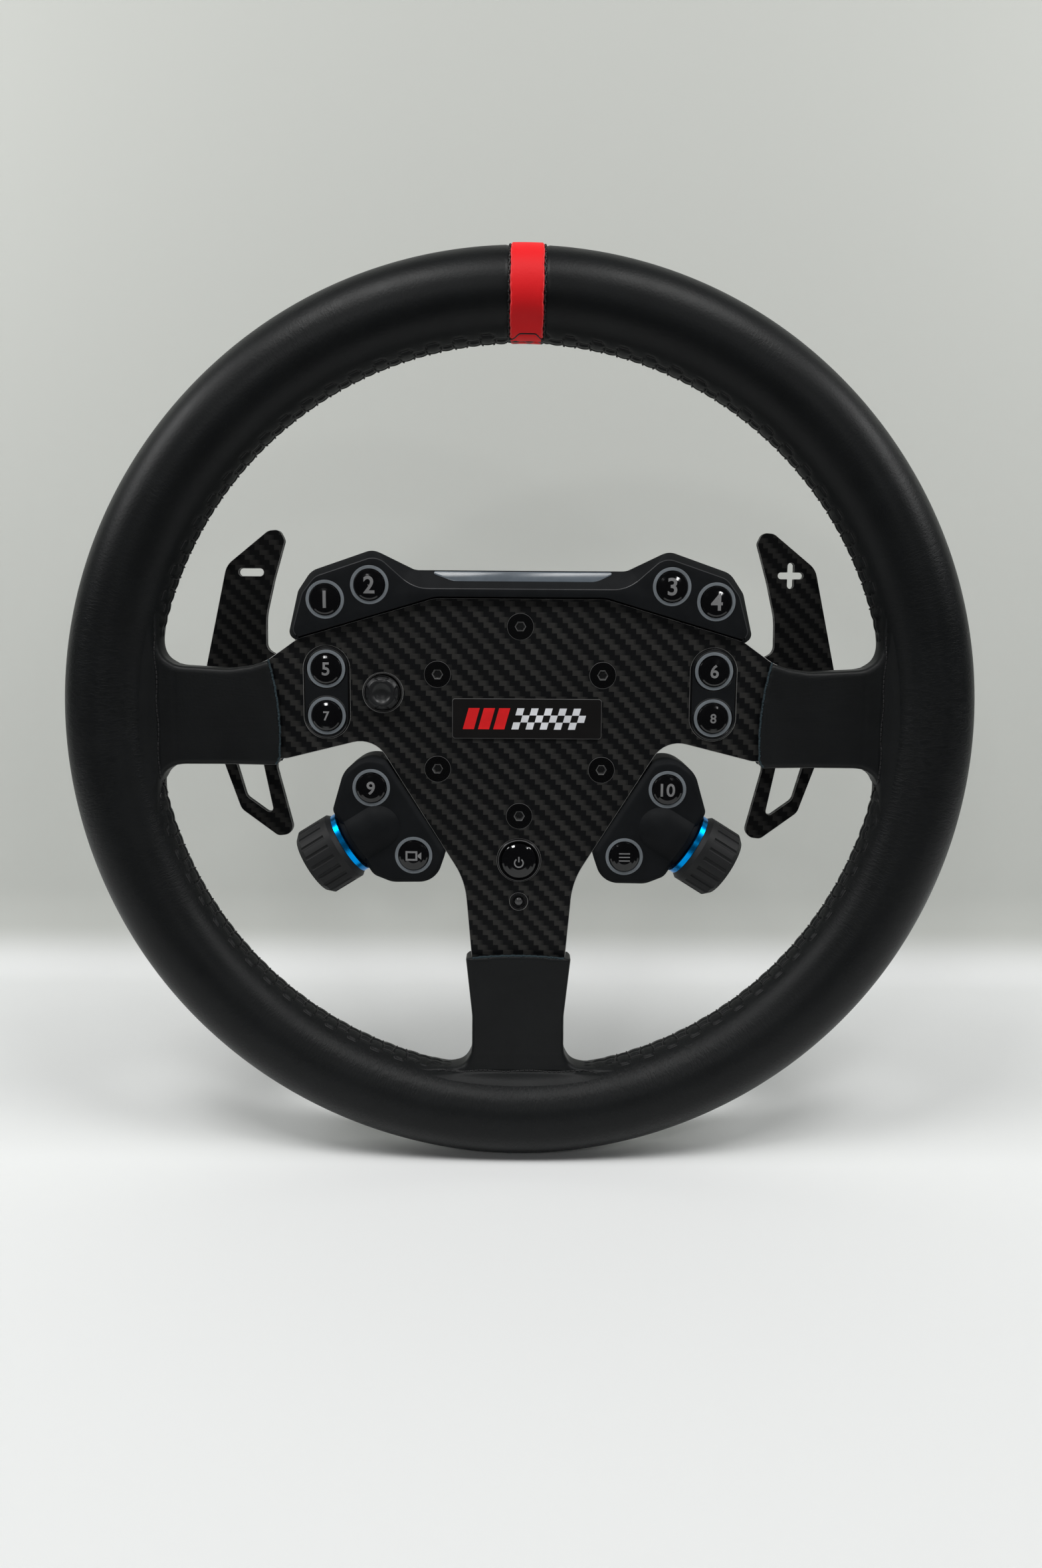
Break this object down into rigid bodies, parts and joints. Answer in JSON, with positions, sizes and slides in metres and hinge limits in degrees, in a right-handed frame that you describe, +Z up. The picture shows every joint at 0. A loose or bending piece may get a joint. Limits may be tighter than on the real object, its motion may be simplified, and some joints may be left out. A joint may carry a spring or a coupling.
{
  "type": "racing wheel",
  "caption": "Round leather sim-racing steering wheel with a carbon spoke plate, button pods, rotary encoders, a thumb stick, shift paddles and a quick-release hub.",
  "frame": {"origin": "centre of the mouth of the quick-release bore, on the back of the hub", "axes": "+Y along the bore axis and away from the driver, +Z up, +X to the driver's right"},
  "size_m": [0.3344, 0.0727, 0.3352],
  "materials": {
    "carbon": "satin twill carbon fibre",
    "leather_black": "fine grained smooth leather",
    "leather_red": "smooth leather",
    "thread_black": "waxed thread",
    "rim_foam": "moulded polyurethane foam",
    "core_metal": "machined",
    "screw_black": "black oxide",
    "badge": "gloss label on a dark plate",
    "bezel_plastic": "satin charcoal",
    "housing_plastic": "fine textured black",
    "light_bar": "smoked diffuser",
    "light_guide": "frosted grey diffuser",
    "circuit_board": "solder mask",
    "switch_plastic": "moulded",
    "cap_gloss": "piano black",
    "trim_gloss": "gloss black ring",
    "knob_rubber": "fluted soft touch",
    "anodised_blue": "bright anodised blue",
    "anodised_black": "bead blasted black anodised",
    "bright_steel": "ground"
  },
  "bodies": {
    "wheel": {"spoke_plate": "carbon", "rim_core": "core_metal", "rim_foam": "rim_foam", "rim_leather": "leather_black", "sleeve_left": "leather_black", "sleeve_right": "leather_black", "sleeve_bottom": "leather_black", "rim_thread": "thread_black", "centre_stripe": "leather_red", "plate_screws": "screw_black", "housing_screws": "screw_black", "badge": "badge", "top_bezel": "bezel_plastic", "pod_bezel_left": "bezel_plastic", "pod_bezel_right": "bezel_plastic", "pill_bezels": "bezel_plastic", "pod_shells": "housing_plastic", "rear_housing": "housing_plastic", "light_bar": "light_bar", "light_rings": "light_guide", "circuit_boards": "circuit_board", "tact_switches": "switch_plastic", "shifter_switches": "switch_plastic", "stick_housing": "switch_plastic", "plate_rings": "trim_gloss", "status_light": "trim_gloss", "shifter_brackets": "anodised_black", "hub": "anodised_black", "encoder_bodies": "bright_steel", "pivot_pins": "bright_steel", "lock_balls": "bright_steel", "release_spring": "bright_steel"},
    "button_1": {"cap_1": "cap_gloss"},
    "button_2": {"cap_2": "cap_gloss"},
    "button_3": {"cap_3": "cap_gloss"},
    "button_4": {"cap_4": "cap_gloss"},
    "button_5": {"cap_5": "cap_gloss"},
    "button_6": {"cap_6": "cap_gloss"},
    "button_7": {"cap_7": "cap_gloss"},
    "button_8": {"cap_8": "cap_gloss"},
    "button_9": {"cap_9": "cap_gloss"},
    "button_10": {"cap_10": "cap_gloss"},
    "button_11": {"cap_11": "cap_gloss"},
    "button_12": {"cap_12": "cap_gloss"},
    "start_button": {"start_cap": "cap_gloss"},
    "gimbal": {"stick_gimbal": "bright_steel"},
    "stick": {"thumb_stick": "knob_rubber"},
    "encoder_left": {"knob_left": "knob_rubber", "knob_ring_left": "anodised_blue", "encoder_shaft_left": "bright_steel"},
    "shifter_left": {"paddle_left": "carbon", "lever_left": "anodised_black", "paddle_screws_left": "screw_black"},
    "encoder_right": {"knob_right": "knob_rubber", "knob_ring_right": "anodised_blue", "encoder_shaft_right": "bright_steel"},
    "shifter_right": {"paddle_right": "carbon", "lever_right": "anodised_black", "paddle_screws_right": "screw_black"},
    "collar": {"release_collar": "anodised_black"}
  },
  "joints": [
    {"name": "press_1", "type": "slide", "parent": "wheel", "child": "button_1", "axis": [0, 1, 0], "range_m": [0, 0.001], "stiffness_N_per_m": 900, "springref_m": -0.0012},
    {"name": "press_2", "type": "slide", "parent": "wheel", "child": "button_2", "axis": [0, 1, 0], "range_m": [0, 0.001], "stiffness_N_per_m": 900, "springref_m": -0.0012},
    {"name": "press_3", "type": "slide", "parent": "wheel", "child": "button_3", "axis": [0, 1, 0], "range_m": [0, 0.001], "stiffness_N_per_m": 900, "springref_m": -0.0012},
    {"name": "press_4", "type": "slide", "parent": "wheel", "child": "button_4", "axis": [0, 1, 0], "range_m": [0, 0.001], "stiffness_N_per_m": 900, "springref_m": -0.0012},
    {"name": "press_5", "type": "slide", "parent": "wheel", "child": "button_5", "axis": [0, 1, 0], "range_m": [0, 0.001], "stiffness_N_per_m": 900, "springref_m": -0.0012},
    {"name": "press_6", "type": "slide", "parent": "wheel", "child": "button_6", "axis": [0, 1, 0], "range_m": [0, 0.001], "stiffness_N_per_m": 900, "springref_m": -0.0012},
    {"name": "press_7", "type": "slide", "parent": "wheel", "child": "button_7", "axis": [0, 1, 0], "range_m": [0, 0.001], "stiffness_N_per_m": 900, "springref_m": -0.0012},
    {"name": "press_8", "type": "slide", "parent": "wheel", "child": "button_8", "axis": [0, 1, 0], "range_m": [0, 0.001], "stiffness_N_per_m": 900, "springref_m": -0.0012},
    {"name": "press_9", "type": "slide", "parent": "wheel", "child": "button_9", "axis": [0, 1, 0], "range_m": [0, 0.001], "stiffness_N_per_m": 900, "springref_m": -0.0012},
    {"name": "press_10", "type": "slide", "parent": "wheel", "child": "button_10", "axis": [0, 1, 0], "range_m": [0, 0.001], "stiffness_N_per_m": 900, "springref_m": -0.0012},
    {"name": "press_11", "type": "slide", "parent": "wheel", "child": "button_11", "axis": [0, 1, 0], "range_m": [0, 0.001], "stiffness_N_per_m": 900, "springref_m": -0.0012},
    {"name": "press_12", "type": "slide", "parent": "wheel", "child": "button_12", "axis": [0, 1, 0], "range_m": [0, 0.001], "stiffness_N_per_m": 900, "springref_m": -0.0012},
    {"name": "start_press", "type": "slide", "parent": "wheel", "child": "start_button", "axis": [0, 1, 0], "range_m": [0, 0.001], "stiffness_N_per_m": 900, "springref_m": -0.0012},
    {"name": "stick_up_down", "type": "hinge", "parent": "wheel", "child": "gimbal", "pos_m": [-0.0503, -0.051, 0.0107], "axis": [1, 0, 0], "range_deg": [-8, 8], "stiffness_Nm_per_rad": 0.05},
    {"name": "stick_left_right", "type": "hinge", "parent": "gimbal", "child": "stick", "pos_m": [-0.0503, -0.051, 0.0107], "axis": [0, 0, 1], "range_deg": [-8, 8], "stiffness_Nm_per_rad": 0.05},
    {"name": "encoder_turn_left", "type": "hinge", "parent": "wheel", "child": "encoder_left", "pos_m": [-0.06185, -0.053, -0.045], "axis": [-0.848, 0, -0.5299], "continuous": true},
    {"name": "encoder_turn_right", "type": "hinge", "parent": "wheel", "child": "encoder_right", "pos_m": [0.06185, -0.053, -0.045], "axis": [0.848, 0, -0.5299], "continuous": true},
    {"name": "shift_left", "type": "hinge", "parent": "wheel", "child": "shifter_left", "pos_m": [-0.05, -0.024, 0.005], "axis": [0, 0, 1], "range_deg": [0, 4], "stiffness_Nm_per_rad": 3, "springref_deg": -4.58},
    {"name": "shift_right", "type": "hinge", "parent": "wheel", "child": "shifter_right", "pos_m": [0.05, -0.024, 0.005], "axis": [0, 0, -1], "range_deg": [0, 4], "stiffness_Nm_per_rad": 3, "springref_deg": -4.58},
    {"name": "collar_slide", "type": "slide", "parent": "wheel", "child": "collar", "axis": [0, -1, 0], "range_m": [0, 0.005], "stiffness_N_per_m": 1800, "springref_m": -0.004, "deforming": ["release_spring"]}
  ]
}
